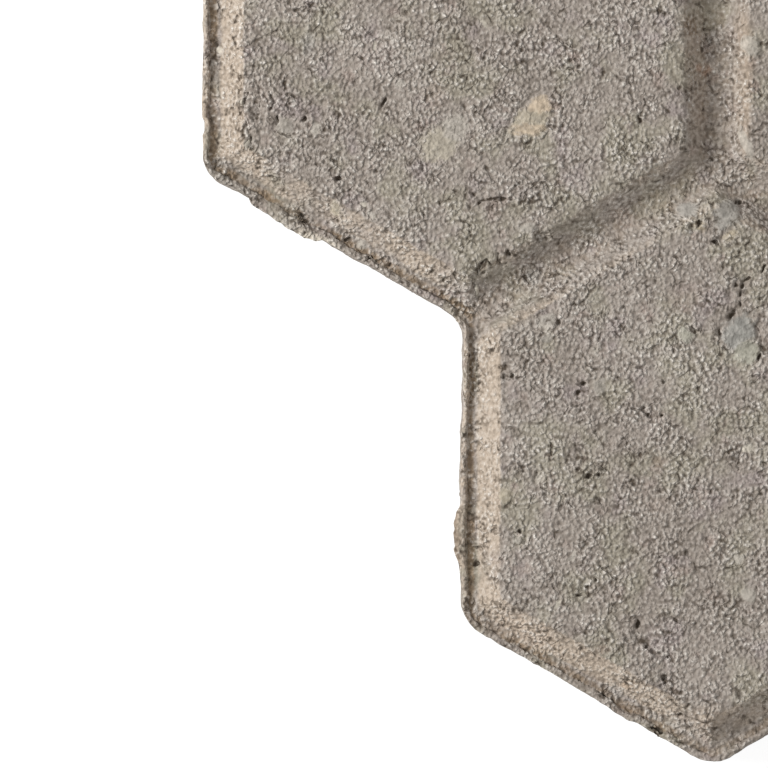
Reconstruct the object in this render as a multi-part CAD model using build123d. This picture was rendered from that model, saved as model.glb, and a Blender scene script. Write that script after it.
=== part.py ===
from build123d import *
import os
from math import atan2, degrees, radians, sqrt, tan

# Concrete paving stone, cast in one piece in the shape of three joined hexagons.
# Millimetres, +Z up. It lies flat, as it is laid. The origin is the point where
# the three hexagons meet, on the bedding face, which is z = 0. Seen from above,
# two hexagons stand side by side at +Y and the third is at -Y.

# Plan
hexagon_width = 100.0  # between two opposite joint faces of one hexagon
corner_radius = 6.0  # outward corners of the outline
notch_radius = 6.0  # inward corners, where two hexagons meet at the outline

# Height
thickness = 60.0  # bedding face to wear face

# Bevelled pads, one on each hexagon
slope_run = 4.6  # width of the sloping side of a pad, seen from above
slope_drop = 4.2  # height of the sloping side
pad_corner_radius = 5.0  # corners of the flat wear face
arris_radius = 2.0  # edge between the wear face and the slope
dummy_joint_floor = 3.4  # between the feet of two neighbouring pads
root_radius = 3.0  # hollow between the slope's foot and the floor

# Edge of the stone, outside the pads
gutter_width = 2.4  # floor between the rim and the foot of the slope
rim_width = 0.8  # lip that the mould leaves along the outline
rim_height = 1.1  # lip above the gutter
rim_round = 0.25  # rounding along the lip's two top edges

# Levels and sizes that follow
floor_level = thickness - slope_drop
hexagon_radius = hexagon_width / sqrt(3)
slope_angle = degrees(atan2(slope_drop, slope_run))
foot_inset = rim_width + gutter_width
foot_corner_radius = slope_run + pad_corner_radius
hexagon_directions = (-90, 30, 150)  # from the origin to the middle of each hexagon
dummy_joint_directions = (90, 210, 330)  # from the origin along each shared side


def hexagon_at(direction):
    """One hexagon with corners at +Y and -Y, touching the origin with a corner."""
    middle = Pos(Vector(hexagon_radius, 0, 0).rotate(Axis.Z, direction))
    return middle * RegularPolygon(hexagon_radius, 6, rotation=30)


def sharp_outline():
    """The three hexagons as one flat shape, before any corner is rounded."""
    first, second, third = [hexagon_at(direction) for direction in hexagon_directions]
    return first + second + third


def rounded_outline():
    """The stone seen from above, with its outward and inward corners rounded."""
    outline = sharp_outline()
    corners = outline.vertices().group_by(lambda corner: round(Vector(corner).length, 3))
    notches = corners[0]
    outward = [corner for ring in corners[1:] for corner in ring]
    outline = fillet(outward, corner_radius)
    near_notches = [
        corner for corner in outline.vertices() for notch in notches
        if (Vector(corner) - Vector(notch)).length < corner_radius / 10
    ]
    return fillet(near_notches, notch_radius)


def pad_feet():
    """Where the three pads stand on the floor, with every corner rounded."""
    inset = offset(sharp_outline(), -foot_inset, kind=Kind.INTERSECTION)
    strip_length = 2 * hexagon_width
    for direction in dummy_joint_directions:
        strip = Rectangle(strip_length, dummy_joint_floor, align=(Align.MIN, Align.CENTER))
        inset -= Rot(0, 0, direction) * strip
    return [fillet(face.vertices(), foot_corner_radius) for face in inset.faces()]


def bevelled_pad(foot):
    """One pad: a sloping side all round and a flat wear face on top."""
    taper = 90 - slope_angle
    pad = extrude(Pos(0, 0, floor_level) * foot, slope_drop, taper=taper)
    wear_face = pad.faces().sort_by(Axis.Z)[-1]
    return fillet(wear_face.edges(), arris_radius)


def root_edges(stone):
    """The hollow edges at the feet of the slopes."""
    level = stone.edges().filter_by_position(Axis.Z, floor_level, floor_level)
    inside = Pos(0, 0, floor_level) * offset(rounded_outline(), -foot_inset / 2).face()
    return [edge for edge in level if inside.is_inside(edge.center())]


def rim():
    """The thin lip along the outline, rounded on top."""
    outline = rounded_outline()
    ring = outline - offset(outline, -rim_width)
    lip = extrude(Pos(0, 0, floor_level) * ring, rim_height)
    return fillet(lip.edges().group_by(Axis.Z)[-1], rim_round)


def paving_stone():
    """The whole stone as one solid."""
    stone = extrude(rounded_outline(), floor_level)
    for foot in pad_feet():
        stone += bevelled_pad(foot)
    widest_root = dummy_joint_floor / 2 / tan(radians(slope_angle / 2))
    stone = fillet(root_edges(stone), min(root_radius, 0.9 * widest_root))
    return stone + rim()


os.makedirs("parts", exist_ok=True)
stone = paving_stone()
export_step(stone, "parts/paving_stone.step")
print("paving_stone", round(stone.volume / 1000, 1), "cm3", stone.bounding_box().size)
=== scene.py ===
import bpy
import numpy as np
from math import cos, radians, sin, sqrt
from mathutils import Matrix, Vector


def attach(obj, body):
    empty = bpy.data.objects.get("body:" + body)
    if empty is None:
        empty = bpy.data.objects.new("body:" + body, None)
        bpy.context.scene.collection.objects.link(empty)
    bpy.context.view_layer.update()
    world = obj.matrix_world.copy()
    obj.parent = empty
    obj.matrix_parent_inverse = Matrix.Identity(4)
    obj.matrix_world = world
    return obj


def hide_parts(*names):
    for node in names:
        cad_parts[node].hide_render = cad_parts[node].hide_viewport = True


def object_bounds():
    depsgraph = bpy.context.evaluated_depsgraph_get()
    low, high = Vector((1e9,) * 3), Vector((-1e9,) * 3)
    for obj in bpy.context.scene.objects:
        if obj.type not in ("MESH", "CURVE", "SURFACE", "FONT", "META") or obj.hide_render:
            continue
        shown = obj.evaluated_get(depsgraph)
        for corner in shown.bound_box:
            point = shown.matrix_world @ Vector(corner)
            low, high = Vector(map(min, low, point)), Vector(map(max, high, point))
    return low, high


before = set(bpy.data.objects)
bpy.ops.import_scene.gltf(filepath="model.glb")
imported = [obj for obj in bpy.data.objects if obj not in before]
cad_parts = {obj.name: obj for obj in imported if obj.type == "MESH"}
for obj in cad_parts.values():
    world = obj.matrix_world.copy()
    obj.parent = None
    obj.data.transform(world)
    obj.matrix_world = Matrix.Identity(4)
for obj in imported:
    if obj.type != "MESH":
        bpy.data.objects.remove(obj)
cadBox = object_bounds()
bpy.ops.object.select_all(action="DESELECT")
print("frame loaded")

mm = 0.001  # sizes below are in millimetres, the points of a mesh in metres
context = bpy.context


# Plan and section of the stone, as the solid has them
plan = {
    "hexWidth": (cadBox[1].x - cadBox[0].x) / 2 / mm,
    "top": cadBox[1].z / mm,
    "slopeDrop": 4.2,
    "edgeToFoot": 3.2,  # lip and gutter
    "jointToFoot": 1.7,  # half the floor of a dummy joint
    "lipHeight": 1.1,
}
hexRadius = plan["hexWidth"] / sqrt(3)
floorLevel = plan["top"] - plan["slopeDrop"]


def turned(angle):
    return np.array([cos(radians(angle)), sin(radians(angle))])


def outerSides():
    # start and end of each straight side, the stone on its left hand
    sides = []
    for middleAngle in (-90, 30, 150):
        middle = hexRadius * turned(middleAngle)
        corners = [middle + hexRadius * turned(90 + 60 * step) for step in range(7)]
        for start, end in zip(corners, corners[1:]):
            if min(np.hypot(*start), np.hypot(*end)) > 0.1:  # the shared sides touch the origin
                sides.append((start, end))
    return sides


def segmentDistance(points, start, end):
    along = np.subtract(end, start)
    share = np.clip((points - start) @ along / (along @ along), 0, 1)
    return np.linalg.norm(points - start - share[:, None] * along, axis=1)


def rampUp(values, low, high):
    share = np.clip((values - low) / (high - low), 0, 1)
    return share * share * (3 - 2 * share)


def rampDown(values, low, high):
    return 1 - rampUp(values, low, high)


def softNoise(points, size, seed):
    # smooth random values from -1 to 1, in blobs of the given size
    count = 48
    lattice = np.random.default_rng(seed).uniform(-1, 1, (count, count, count))
    spots = np.ascontiguousarray((points / size).T)
    low = np.floor(spots).astype(int)
    share = spots - low
    share = share * share * (3 - 2 * share)
    cells, weights = (low % count, (low + 1) % count), (1 - share, share)
    total = np.zeros(len(points))
    for x, y, z in np.ndindex(2, 2, 2):
        weight = weights[x][0] * weights[y][1] * weights[z][2]
        total += weight * lattice[cells[x][0], cells[y][1], cells[z][2]]
    return total


# The cast stone
cast = {
    "voxel": 0.42,
    "seed": 11,
    "wearTriangles": 134500,  # pads, joints and lip
    "wallTriangles": 29000,
    "bedTriangles": 12000,
    "bedTop": 1.3,  # up to here the triangles count as the bed's
    "wallTop": floorLevel - 2.5,
    "keptHollow": 0.45,  # a point of the wear side as dark as this is kept
    "pitsFrom": floorLevel - 0.6,  # pits and cracks are placed above this level
    "marksFrom": floorLevel - 3.0,  # pebbles and stains above this one
    "markReach": 1.2,  # how far past a pit's rim its points are sought
    "crackReach": 12,  # no crack goes further from its middle
    "fineRound": {"pit": 0.7, "crack": 0.6},  # how far past its rim the faces are made smaller
    "markDepth": 0.8,  # of a pit or crack whose depth is given as 1
    "streakLength": 14,  # of the mould's streaks, in times their width
    "placedUpTo": (12, 35),  # up to this x and y the pebbles are placed, and beyond it scattered
    "scatteredPebbles": 46,
    "brokenSidesLip": 0.68,  # share of the lip that is gone from the sides that face the front
}

# Unevenness, as layers of blobs: their size, height and seed
uneven = {
    "outline": ((17, 0.22, 1), (6, 0.12, 2), (2.2, 0.05, 3)),
    "upperEdge": ((1.9, 0.10, 4), (1.0, 0.07, 5)),
    "flash": ((3.5, 0.3, 21), (1.3, 0.2, 22)),
    "lipHeight": ((4.5, 0.38, 31), (1.7, 0.36, 32)),
    "lipPlace": ((2.6, 0.28, 33), (1.2, 0.18, 34)),
    "surface": ((7.5, 0.05, 41), (3.2, 0.045, 42), (1.6, 0.05, 43), (0.9, 0.035, 44)),
    "arris": ((2.4, 0.12, 46), (1.3, 0.10, 51)),
    "gutter": ((2.1, 0.13, 47), (1.6, 0.08, 43)),
    "walls": ((3.2, 0.12, 42), (1.6, 0.06, 43)),
    "crumbled": ((1.9, 0.38, 49), (1.1, 0.30, 50)),
    "bed": ((2.8, 1.0, 48), (1.6, 0.5, 43)),
    "skinEdge": ((2.5, 0.5, 81), (1.2, 0.3, 82)),
    "skinPatches": ((6.5, 0.6, 83), (2.5, 0.25, 84)),
}

# Small pits at random: how many, their radii and depths, how dark they are with painted shade and dirt
randomPits = {
    "pads": (240, (0.45, 1.1), (0.15, 0.45), 0.55),
    "arris": (230, (0.5, 1.3), (0.15, 0.4), 0.25),
    "walls": (300, (0.5, 1.7), (0.3, 1.0), 0.6),
    "bed": (260, (0.6, 2.2), (0.3, 1.1), 0.5),
}

# Where the outline isn't true: from, to, how far it stands out
untrueSides = [
    ((-50, -86.6), (0, -115.5), 1),
]

# Flash and lumps on the lip: from, to, how far out, how far down, how fast it ends
flash = [
    ((-91.2, -5.1), (-76.6, -13.5), 1.6, 2.6, 1.6),
    ((-50, -64.6), (-50, -80), 1.9, 3.2, 3.4),
    ((-50, -28), (-50, -31.5), 0.9, 2, 1.8),
    ((-21, -103.4), (-15, -106.8), 0.35, 2.5, 1.8),
    ((100, 30), (100, 41), 0.9, 2.8, 2.5),
    ((62, 79.7), (74, 72.7), 0.8, 2.4, 2),
    ((-30, 75.1), (-22, 70.5), 0.7, 2.2, 3),
    ((50, -52), (50, -60), 0.7, 2.6, 2),
]

# Stretches of the outline that stand further in: from, to, how far, fading over
shyStretches = [
    ((-50, -31), (-50, -47), 0.7, 4), ((-50, -52), (-50, -86), 0.5, 5),
    ((-100, 9), (-100, 8.2), 0.5, 1.4), ((-100, 26), (-100, 48), 0.2, 5),
    ((4, -113.2), (16, -106.2), -0.35, 5), ((-100, 1), (-96, -2.3), -0.2, 2.5),
]

# Where the surface is crumbled: place, half length, half width, turn, strength
crumbled = [
    (-91.3, 11, 9.5, 3.2, 95, 1), (-84, 2.5, 3, 2, 30, 0.7), (-62, 29.8, 2.6, 1.8, 20, 0.7),
    (-72.5, -2.5, 3.2, 2.2, 60, 0.7), (-76, 14, 3, 1.8, 30, 0.5), (-41.5, 8, 2, 1.4, 80, 0.5),
    (-35, 7, 5, 2.6, 15, 0.5), (-44.5, -19, 4, 2.8, 35, 0.9), (-34.5, -13, 2.8, 2, -30, 0.8),
    (-42, -4, 6.5, 2, 10, 0.6), (-2.5, 26.5, 3, 2.4, 90, 0.6), (-1, -11, 6, 4.2, 20, 0.9),
    (-35, -28.5, 4.4, 3, 10, 0.7), (-41.3, -39.4, 2.6, 1.8, -20, 0.8), (5, -22.5, 3.6, 2.2, 20, 0.8),
    (4.5, -33, 5.6, 6.8, 0, 0.45), (-26, -42, 3.6, 2.6, 0, 0.7), (-13, -47, 2.6, 1.6, 0, 0.5),
    (-25, -57.5, 6.5, 3.2, -15, 0.8), (-23, -52.5, 2.4, 2.6, 0, 0.5), (-38, -72, 2.2, 2.2, 0, 0.6),
    (-23.5, -82, 5, 2.4, 10, 0.9), (-12.5, -92, 6, 3, -40, 0.8), (-10, -99, 2.4, 2, 0, 0.7),
    (-5, -74, 2.6, 1.6, 0, 0.5), (4, -75, 2.6, 2.2, 0, 0.5), (9, -19.5, 2, 2.6, 0, 0.6),
    (-46, -58, 1.8, 4, 0, 0.5), (-81, -9.5, 4, 2.2, -30, 0.6), (-70, -15, 4.5, 2.2, -30, 0.6),
    (-16, -104.5, 4, 2, -30, 0.7), (2, -109.5, 4, 2, 0, 0.5), (60, 6, 7, 3.5, 30, 0.9),
    (84, 62, 6, 3, 120, 0.8), (-20, 62, 6, 3, 90, 0.7), (38, -78, 6, 3, 60, 0.8),
]

# Pits and hollows, darkened with painted shade and dirt: place, half length, half width, turn, depth
pits = [
    (-86, 13, 0.5, 0.5, 0, 0.6), (-80.2, 10, 0.6, 0.6, 0, 0.9), (-85.7, 9.3, 1.1, 0.5, 85, 0.7),
    (-86, 7.4, 0.5, 0.4, 0, 0.4), (-83, 1.5, 1.3, 0.8, 35, 0.4), (-64.7, 13.3, 1.4, 0.5, 65, 0.9),
    (-75, 16.3, 0.8, 0.4, 25, 0.5), (-61.5, 30.3, 1.6, 0.8, 20, 0.5), (-62.7, 28.7, 0.9, 0.7, 0, 0.4),
    (-55.8, 18.7, 0.6, 0.5, 0, 0.6), (-49, 12.2, 1.5, 0.6, -50, 0.5), (-47.8, 6.3, 0.8, 0.4, 45, 0.5),
    (-57.3, 0.5, 1.6, 0.6, 90, 0.6), (-50.7, 2, 0.6, 0.5, 0, 0.5), (-73.6, -1.6, 1.2, 0.6, 65, 1),
    (-69, -4.2, 0.5, 0.5, 0, 0.6), (-72.6, -5.2, 1.3, 0.35, 80, 0.4), (-54, -6.3, 0.5, 0.5, 0, 0.6),
    (-47.3, -4.8, 0.6, 0.5, 0, 0.7), (-94, 18.2, 0.6, 0.4, 45, 0.4), (-92.3, 10.8, 0.5, 0.4, 0, 0.5),
    (-91, 7.5, 0.7, 0.4, 60, 0.5), (-90.3, 4, 0.7, 0.5, 0, 0.5), (-95.7, 29.3, 0.9, 0.4, 80, 0.3),
    (-93.4, -1.3, 0.8, 0.5, -30, 0.5), (-88.8, -6, 0.7, 0.5, 0, 0.5), (-80.7, -8.9, 1, 0.7, 0, 0.7),
    (-71.9, -13.4, 1.1, 0.5, 30, 0.8), (-67.5, -17, 0.7, 0.6, 0, 0.7), (-63.7, -18.5, 0.6, 0.5, 0, 0.6),
    (-66, -12, 0.6, 0.5, 0, 0.5), (-53, -24, 0.6, 0.5, 0, 0.6), (-60, -22, 0.6, 0.5, 0, 0.4),
    (-40, -5.5, 0.6, 0.5, 0, 0.7), (-38.7, 12, 0.6, 0.5, 0, 0.4), (-40.9, 7.4, 1.1, 0.5, 85, 0.6),
    (-31.8, 11.5, 0.5, 0.5, 0, 0.5), (-30, 11.8, 1, 0.4, 90, 0.5), (-26.3, 11.4, 1.2, 0.45, -35, 0.6),
    (-14.9, 9.6, 1, 0.6, 85, 0.8), (-18.3, -3.7, 0.6, 0.5, 0, 0.5), (-15.8, 28.4, 1.1, 0.5, 20, 0.4),
    (-2, 27.4, 1, 0.6, 20, 0.6), (-1.3, 25.4, 0.8, 0.6, 0, 0.6), (-6.4, 22.5, 0.5, 0.5, 0, 0.5),
    (-1.3, 17.2, 0.6, 0.5, 0, 0.6), (-0.7, 11.8, 0.6, 0.5, 0, 0.5), (4.2, -6, 0.8, 0.7, 0, 1),
    (-5, -11.2, 1.5, 0.5, 5, 0.6), (-0.2, -14.1, 1.3, 0.45, -20, 0.9), (2.8, -14.8, 0.7, 0.4, 20, 0.7),
    (-3.4, -10.4, 1, 0.5, 80, 0.9), (-4.4, -31, 1, 0.4, -50, 0.7), (4.7, -24, 0.9, 0.35, 85, 0.7),
    (5, -22.4, 1, 0.5, 80, 0.9), (4.7, -25.9, 0.9, 0.35, 80, 0.7), (9, -24.8, 0.9, 0.4, 20, 0.7),
    (-19.8, -9.8, 0.5, 0.5, 0, 0.5), (-40.4, -16.3, 1, 0.6, 85, 1), (-42, -17.6, 0.8, 0.5, 40, 0.6),
    (-47.7, -20.7, 0.8, 0.5, 30, 0.6), (-45.3, -21.7, 0.6, 0.6, 0, 0.6),
    (-34.3, -13.3, 1.4, 0.8, -40, 0.5), (-25.7, -14.6, 0.6, 0.4, 0, 0.6), (-47.2, -26.4, 0.5, 0.5, 0, 0.5),
    (-36.3, -26.9, 1.2, 0.5, 10, 0.5), (-33.6, -26.9, 0.8, 0.5, 0, 0.5), (-30.5, -29.9, 0.7, 0.5, 90, 0.6),
    (-29.6, -31.7, 1, 0.35, 15, 0.4), (-21.2, -28.3, 0.9, 0.6, 80, 0.5), (-17.8, -26.7, 0.5, 0.5, 0, 0.5),
    (-12, -21.7, 0.5, 0.5, 0, 0.5), (-14.8, -18.3, 0.7, 0.6, 0, 0.4), (-41.8, -38.6, 1.2, 0.9, 0, 1.1),
    (-41.3, -40, 0.8, 0.4, 80, 0.7), (-39.7, -40.1, 0.8, 0.6, 30, 0.9), (0.7, -31.6, 0.9, 0.4, 85, 0.8),
    (-0.5, -33, 0.5, 0.5, 0, 0.5), (-5.8, -30.2, 0.8, 0.35, 0, 0.7), (3, -28, 1.6, 0.6, 50, 0.8),
    (3.8, -22.3, 0.6, 0.5, 0, 0.8), (6, -21.3, 1.2, 0.5, 25, 0.8), (8.3, -36.3, 1, 0.5, 70, 1),
    (9.3, -18.9, 1.3, 0.5, 70, 0.9), (-26, -41.7, 0.8, 0.6, 0, 1), (-27, -43.3, 0.6, 0.6, 0, 0.9),
    (-26.3, -44.6, 0.5, 0.4, 0, 0.6), (-30, -42.4, 1, 0.3, 0, 0.5), (-21.5, -44, 0.6, 0.4, 60, 0.5),
    (-10, -41.3, 0.6, 0.5, 0, 0.7), (-12, -38, 0.6, 0.5, 0, 0.5), (-14, -46.5, 0.5, 0.5, 0, 0.7),
    (-13.3, -47.7, 0.5, 0.5, 0, 0.8), (-10.7, -47.8, 0.5, 0.4, 0, 0.8), (-23.6, -51, 0.6, 0.5, 0, 0.6),
    (-26.2, -55, 1.6, 0.35, -60, 0.4), (-28.4, -57.3, 0.7, 0.4, -20, 0.5),
    (-35.1, -59.5, 1.1, 0.5, 70, 0.6), (-26.8, -58.3, 0.9, 0.5, -20, 0.8), (-24.8, -59.7, 0.8, 0.6, 0, 1),
    (-22.9, -59.6, 0.7, 0.6, 0, 0.9), (-21.8, -58.3, 0.9, 0.4, 35, 0.7), (-4, -57.7, 1.3, 0.4, 35, 0.5),
    (2.8, -57.5, 0.7, 0.4, 20, 0.5), (4.4, -58.2, 0.6, 0.5, 90, 0.5), (-33, -63.5, 1, 0.4, 90, 0.4),
    (-22.6, -64.6, 1.3, 0.4, -55, 0.6), (-10.8, -62.5, 0.6, 0.6, 0, 0.5), (3.5, -63.7, 0.5, 0.5, 0, 0.6),
    (-15, -67, 0.9, 0.4, 0, 0.5), (-17.5, -68.3, 0.5, 0.4, 0, 0.5), (-38.3, -70.4, 0.7, 0.6, 90, 0.8),
    (-37.4, -72.5, 0.9, 0.3, -65, 0.5), (-46.9, -76.7, 1, 0.8, 0, 1.1), (-41.8, -75.6, 0.5, 0.4, 0, 0.4),
    (-23.4, -79.7, 0.6, 0.4, 0, 0.7), (-11.2, -75.6, 0.5, 0.4, 0, 0.6), (-5.6, -74.5, 0.6, 0.5, 0, 0.6),
    (-26.8, -82.9, 1.1, 0.4, 0, 0.8), (-25, -81.2, 0.7, 0.4, 0, 0.5), (-22, -81.6, 0.6, 0.5, 0, 0.5),
    (7.9, -81.4, 0.7, 0.4, 90, 0.7), (-15.3, -88.5, 0.9, 0.6, 80, 1.1), (-15.5, -90.3, 0.5, 0.4, 0, 0.5),
    (-17.5, -91.3, 0.6, 0.6, 0, 0.8), (-13.7, -92.8, 0.8, 0.5, 30, 0.8), (-12.6, -93.7, 0.6, 0.5, 90, 0.6),
    (-11.2, -92, 0.6, 0.5, 30, 0.6), (-9.3, -94.8, 0.4, 0.4, 0, 0.7), (-12, -96.6, 0.6, 0.5, 70, 0.6),
    (-10.1, -99, 0.8, 0.6, 0, 1), (-9.7, -100.1, 0.5, 0.4, 90, 0.7), (1.2, -97.3, 0.5, 0.5, 0, 0.5),
    (-7, -106.3, 0.7, 0.5, 0, 0.7), (-18.8, -96.5, 0.6, 0.5, 80, 0.5), (5.3, -106.8, 0.8, 0.4, 90, 0.5),
    (-11.6, -109.3, 1.8, 1, -25, 1.5),
]

# Cracks and the edges of flakes: half width, depth and the points they pass
cracks = [
    (0.45, 0.8, [(-46.2, -6.3), (-44.6, -5.6), (-43, -5.7), (-41.4, -5.4)]),
    (0.32, 0.5, [(-39.3, -3.1), (-37.5, -2.5), (-35.8, -2.9), (-34, -2.4), (-32, -3.4), (-30, -3.5)]),
    (0.3, 0.7, [(-46.4, -20.3), (-46.1, -18.9), (-45.3, -17.7), (-44.4, -17.5), (-43.9, -18.4)]),
    (0.28, 0.6, [(-42.6, -16.3), (-42.5, -17.8), (-41.9, -18.6), (-41, -18.2)]),
    (0.22, 0.5, [(-47.3, -20.2), (-47.2, -22.8)]),
    (0.26, 0.5, [(-94.6, 18.4), (-93.3, 18.6), (-92.6, 16.8), (-92.9, 15.2)]),
    (0.3, 0.6, [(-91.2, 15.2), (-92.3, 12.6), (-92.6, 10.6), (-91.6, 9), (-91.2, 7.4)]),
    (0.24, 0.6, [(-90.6, 6.2), (-90.5, 3.6)]), (0.24, 0.6, [(-86.9, 15.2), (-86.4, 13), (-86.9, 11.8)]),
    (0.28, 0.8, [(-85.5, 10.4), (-85.8, 8.6)]), (0.2, 0.3, [(-95.8, 5.7), (-93, 5.6), (-92, 6.6)]),
    (0.22, 0.4, [(-90.6, 18.6), (-89.4, 16.6), (-88.7, 14), (-89.2, 11)]),
    (0.2, 0.4, [(-94.8, 16.4), (-93.9, 14.4), (-94.2, 11.6), (-93.6, 9.6)]),
    (0.25, 0.3, [(-16.6, 14.8), (-15.6, 12.2), (-15, 10.4)]),
    (0.15, 0.2, [(5.2, -33.4), (6.5, -32.5), (8, -31.9)]),
    (0.22, 0.4, [(6.8, -29.2), (8.2, -31), (8.9, -33), (8.7, -34.8)]),
    (0.22, 0.5, [(-4, -31.4), (-2.6, -31.1), (-0.9, -31.3)]),
]

# Pebbles at the surface: place, half length, half width, turn, rise, tone
# A tone is a colour and how bare of paste the pebble is
pebbleTones = {
    "tan": (0.57, 0.46, 0.335, 0.85), "olive": (0.47, 0.42, 0.33, 0.75), "pale": (0.47, 0.43, 0.37, 0.75),
    "white": (0.58, 0.53, 0.44, 0.8), "blue": (0.305, 0.298, 0.272, 0.85), "grey": (0.4, 0.365, 0.32, 0.65),
    "green": (0.4, 0.385, 0.315, 0.85), "yellow": (0.48, 0.42, 0.315, 0.75),
    "cream": (0.56, 0.46, 0.38, 0.6), "ash": (0.37, 0.345, 0.308, 0.9),
}
pebbles = [
    (-34.7, 12, 3.2, 2.4, 40, 0.12, "tan"), (-36.4, 8.3, 3.7, 2, 8, 0.12, "tan"),
    (-35.3, 10.2, 3.5, 2.7, 30, 0.12, "yellow"), (-54.3, 5, 4.4, 3.7, 25, 0.05, "olive"),
    (-51.2, 7.8, 3.5, 2.8, 60, 0.05, "pale"), (-37.8, 10.1, 2.4, 1.7, 60, 0.1, "yellow"),
    (-84, 8.5, 2.1, 1.6, 0, 0.1, "grey"), (-78, 8, 1.8, 1.2, 80, 0.08, "pale"),
    (4.4, -31.4, 4.3, 3.3, 50, 0.15, "blue"), (5.8, -35.4, 3, 2.5, 0, 0.12, "green"),
    (1.8, -8.7, 3.5, 2.5, 60, 0.2, "ash"), (-5.6, -7.7, 2.4, 1.7, -15, 0.15, "ash"),
    (-5.8, -32.2, 1.7, 1.7, 0, 0.22, "green"), (-33, -29.4, 2, 1.8, 0, 0.15, "pale"),
    (-33.1, -32.7, 1.3, 1, 0, 0.1, "grey"), (-41, -63.4, 1.9, 1.3, 90, 0.15, "yellow"),
    (-38.7, -72.2, 1, 1, 0, 0.2, "pale"), (6.3, -54, 1.2, 1.1, 0, 0.12, "white"),
    (6.3, -82.9, 1.7, 1.6, 0, 0.15, "pale"), (4.4, -75.8, 1.1, 1.1, 0, 0.12, "pale"),
    (6.6, 24.2, 2.6, 2, -60, 0.25, "pale"), (-66.5, 24, 1.2, 0.5, 85, 0.05, "white"),
    (-61.6, 17, 1.2, 1, 0, 0.05, "pale"), (-68.6, -6.8, 0.9, 0.7, 0, 0.1, "white"),
    (-67, -8.8, 1, 0.7, -50, 0.1, "pale"), (-74.5, -7.5, 1.7, 1.2, 80, 0.05, "yellow"),
    (-69, -14.5, 1.3, 1, 0, 0.1, "pale"), (-45.3, 28.5, 1.9, 0.6, -55, 0.05, "white"),
    (5.8, 5.1, 4.3, 0.9, -70, 0.15, "pale"), (-28, -75.4, 1.7, 0.6, 60, 0.05, "pale"),
    (-31.2, -84.5, 1.6, 0.5, 60, 0.05, "white"), (-46.9, -23.3, 1.7, 0.35, 90, 0.15, "white"),
    (-22.8, -42, 1.8, 1.3, 80, 0.05, "grey"), (-37, -11.4, 2.2, 1.2, 20, 0.1, "pale"),
    (-97, 23.5, 0.9, 0.7, 90, 0.1, "white"), (-92.5, 13.4, 0.7, 0.5, 45, 0.2, "white"),
    (-91.2, 4.9, 1, 0.5, 60, 0.2, "white"), (-78.5, -12.7, 2.6, 0.5, -25, 0, "cream"),
]

# Stains and patches of other sand, and a few patches of painted light and shade: place, half length, half
# width, turn, strength, tone
stainsAndPaintedLight = [
    (-5.5, -24.5, 4, 2.6, 10, 0.45, (0.335, 0.265, 0.235)),
    (-11.5, -65.5, 2.3, 1.6, 20, 0.6, (0.41, 0.34, 0.29)),
    (6, -106, 4.6, 2.2, 15, 0.3, (0.35, 0.29, 0.24)),
    (-11, -89, 2.1, 1.4, 20, 0.7, (0.255, 0.21, 0.185)),
    (-19.4, -101.8, 1.8, 1, 80, 0.7, (0.32, 0.29, 0.265)),
    (-18, -105.3, 2.1, 1.1, -20, 0.5, (0.25, 0.2, 0.165)),
    (-22.4, -93.4, 1.5, 1, 0, 0.7, (0.3, 0.23, 0.18)),
    (-2.6, 19.7, 1.6, 1.1, -20, 0.8, (0.42, 0.27, 0.19)),
    (-17.3, -100.2, 1.2, 0.9, 0, 0.85, (0.6, 0.46, 0.34)),
    (-11.5, -56.8, 1.3, 1, 80, 0.7, (0.27, 0.215, 0.165)),
    (-5, 28, 2.6, 1.4, 85, 0.7, (0.27, 0.19, 0.13)),
    (-72, 12, 3, 1.6, 60, 0.45, (0.37, 0.3, 0.27)),
    (-66, 22, 4, 3, 0, 0.35, (0.34, 0.275, 0.25)),
    (-79.5, 24.5, 2.4, 1.6, 80, 0.4, (0.26, 0.25, 0.245)),
    (-37, -5, 2.2, 1.8, 0, 0.5, (0.27, 0.235, 0.22)),
    (-54.8, 14.5, 3, 2.2, 80, 0.4, (0.4, 0.32, 0.265)),
    (-24.5, -33, 2.6, 2, 30, 0.35, (0.31, 0.255, 0.24)),
    (-3.3, -10.8, 1.6, 1, -40, 0.7, (0.46, 0.38, 0.27)),
    (2.6, -12.6, 1.6, 1, 20, 0.7, (0.44, 0.37, 0.26)),
    (-24, -99.5, 3.2, 1.2, -30, 0.5, (0.19, 0.15, 0.125)),
    (-95.3, -1, 7, 3, -28, 0.75, (0.255, 0.225, 0.19)),
    (-76, -12.4, 20, 1.5, -30, 0.35, (0.22, 0.185, 0.15)),
    # the next two: painted light on the joint's slope that faces away from the lamp, painted shade on its lit
    # slope
    (-27, -10.9, 24, 2.4, 30, 0.35, (0.43, 0.375, 0.325)),
    (-22.9, -18.2, 22, 2.2, 30, 0.3, (0.3, 0.265, 0.235)),
    (-46.2, -87.2, 5, 1.9, -40, 0.75, (0.235, 0.19, 0.15)),
    (-50.6, -26.6, 2.2, 1.6, -40, 0.6, (0.24, 0.19, 0.15)),
    (-35.5, -21, 1.6, 2, 0, 0.5, (0.31, 0.3, 0.275)),
    (-36, -17.4, 2.6, 1.8, 30, 0.4, (0.26, 0.225, 0.2)),
    (5.2, 18, 16, 2, 90, 0.5, (0.42, 0.33, 0.25)),
    # painted light on the slope that faces away from the lamp
    (-3.9, 18, 15, 2, 90, 0.6, (0.43, 0.35, 0.28)),
    (-37, -90.3, 7.6, 2.6, -30, 0.7, (0.5, 0.4, 0.31)),
    (-1.5, -106.5, 4, 2.6, 0, 0.4, (0.42, 0.335, 0.26)),
    (-97.3, 4, 2.8, 1.3, 90, 0.5, (0.43, 0.35, 0.27)),
    (-50.9, -71.5, 6, 1.1, 90, 0.85, (0.27, 0.205, 0.15)),
    # a painted highlight along the outer edge of the flash
    (-77.5, -13.9, 5.2, 1, -27, 0.9, (0.68, 0.61, 0.5)),
]


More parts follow.
